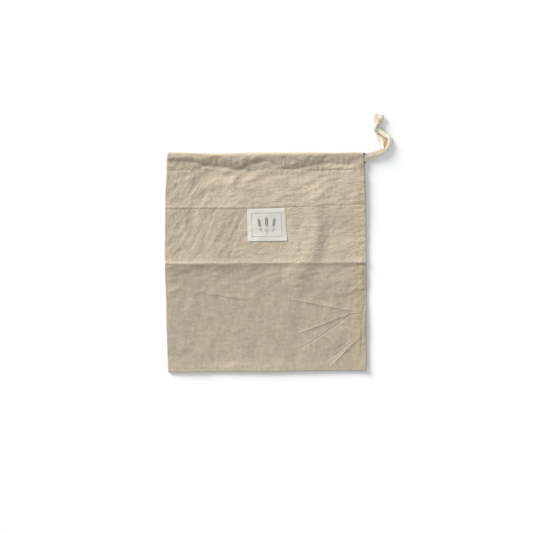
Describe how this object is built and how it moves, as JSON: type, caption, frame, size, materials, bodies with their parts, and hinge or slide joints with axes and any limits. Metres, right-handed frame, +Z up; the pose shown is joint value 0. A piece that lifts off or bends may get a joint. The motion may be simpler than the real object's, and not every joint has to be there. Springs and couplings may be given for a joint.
{
  "type": "linen bread bag",
  "caption": "Flat linen drawstring bag, empty and lying on its back, with a deep turned hem, a sewn label and a flat cotton tape drawcord knotted beyond the side seam",
  "frame": {"origin": "on the surface that the bag lies on, under the middle of the bag's outline (the free drawcord left out)", "axes": "+X towards the side seam where the drawcord comes out, +Y towards the mouth, +Z up from the back of the bag to its front"},
  "size_m": [0.341, 0.3877, 0.0126],
  "materials": {
    "linen": "natural washed linen, plain weave, matt",
    "label": "off-white printed cotton label, matt",
    "tape": "cream herringbone cotton tape, matt"
  },
  "bodies": {
    "root": {"bag_body": "linen", "label": "label", "tape_in_hem": "tape", "tape_front": "tape", "tape_back": "tape", "tape_knot": "tape"}
  },
  "joints": []
}
